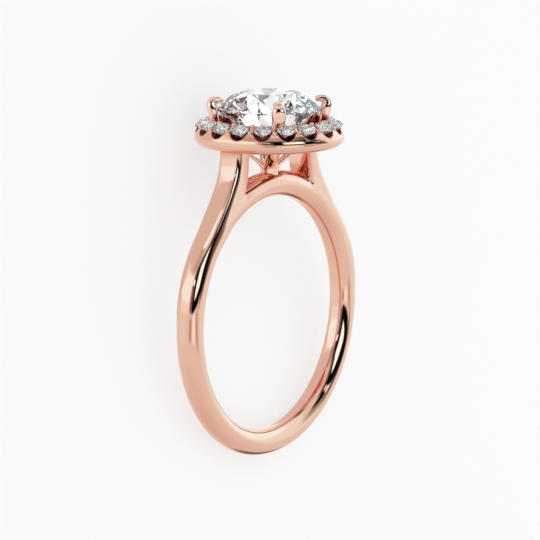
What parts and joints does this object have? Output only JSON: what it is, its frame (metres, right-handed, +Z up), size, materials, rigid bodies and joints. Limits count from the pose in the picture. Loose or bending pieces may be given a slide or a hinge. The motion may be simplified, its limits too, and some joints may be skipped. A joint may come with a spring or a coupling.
{
  "type": "halo ring",
  "caption": "Rose gold finger ring: plain polished band, cathedral shoulders, a large round stone in claws inside a halo of small stones. Lies on its side as at rest.",
  "frame": {"origin": "on the surface that the ring lies on, under the middle of its bounding box", "axes": "+Z up from the surface; +Y from the far side of the band towards the head; +X across the band. The finger hole's axis leans 11.25 degrees off +Z, because the halo is wider than the band and props that end up"},
  "size_m": [0.02, 0.0254, 0.0103],
  "materials": {
    "rose_gold": "rose gold alloy, mirror polished",
    "clear_stone": "faceted and polished, colourless"
  },
  "bodies": {
    "root": {"ring_metal": "rose_gold", "centre_stone": "clear_stone"}
  },
  "joints": []
}
